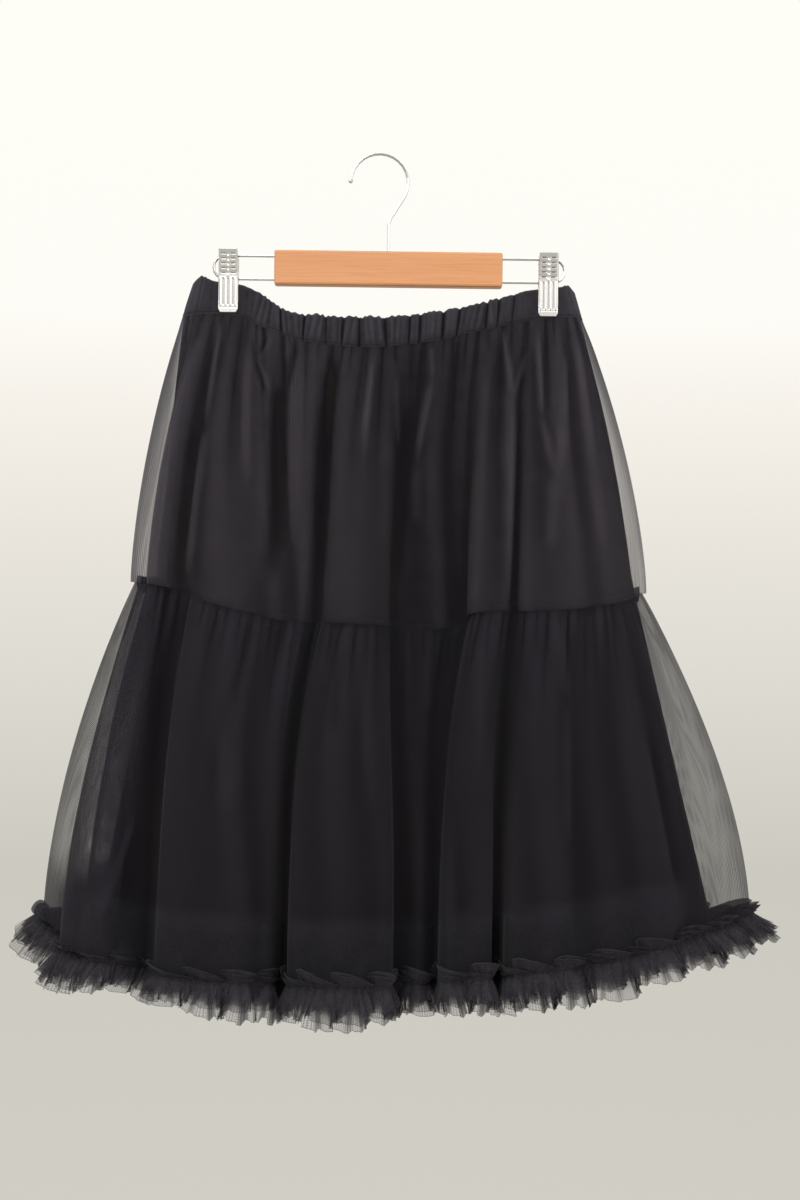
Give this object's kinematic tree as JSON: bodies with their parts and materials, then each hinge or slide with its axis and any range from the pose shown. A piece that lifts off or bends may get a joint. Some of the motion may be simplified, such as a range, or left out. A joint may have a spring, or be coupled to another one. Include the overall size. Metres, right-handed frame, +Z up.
{
  "type": "ruffle skirt on clip hanger",
  "caption": "Knee-length tiered net skirt with an elastic gathered waist, opaque lining and ruffled hem, hanging from a wood-bar clip hanger.",
  "frame": {"origin": "underside of the hook's arc, where the hanger bears on what holds it", "axes": "+Z up, -Y towards the front of the skirt, +X to the right as seen from the front"},
  "size_m": [0.6976, 0.1877, 0.7908],
  "materials": {
    "net": "soft black net, matt and sheer",
    "ruffle": "soft black net, gathered in several layers",
    "casing": "matt black cloth, crinkled over elastic",
    "lining": "opaque black lining cloth",
    "wood": "clear varnish on warm wood",
    "wire": "bright plated wire",
    "clip": "bright plated pressed sheet"
  },
  "bodies": {
    "root": {"hanger_bar": "wood", "hanger_hook": "wire", "hanger_wire_left": "wire", "hanger_wire_right": "wire", "clip_left_core": "clip", "clip_left_jaw_front": "clip", "clip_left_jaw_back": "clip", "clip_right_core": "clip", "clip_right_jaw_front": "clip", "clip_right_jaw_back": "clip", "waistband_front": "casing", "waistband_back": "casing", "lining_front": "lining", "lining_back": "lining", "upper_tier_front": "net", "upper_tier_back": "net", "lower_tier_front": "net", "lower_tier_back": "net", "hem_ruffle_front": "ruffle", "hem_ruffle_back": "ruffle"}
  },
  "joints": []
}
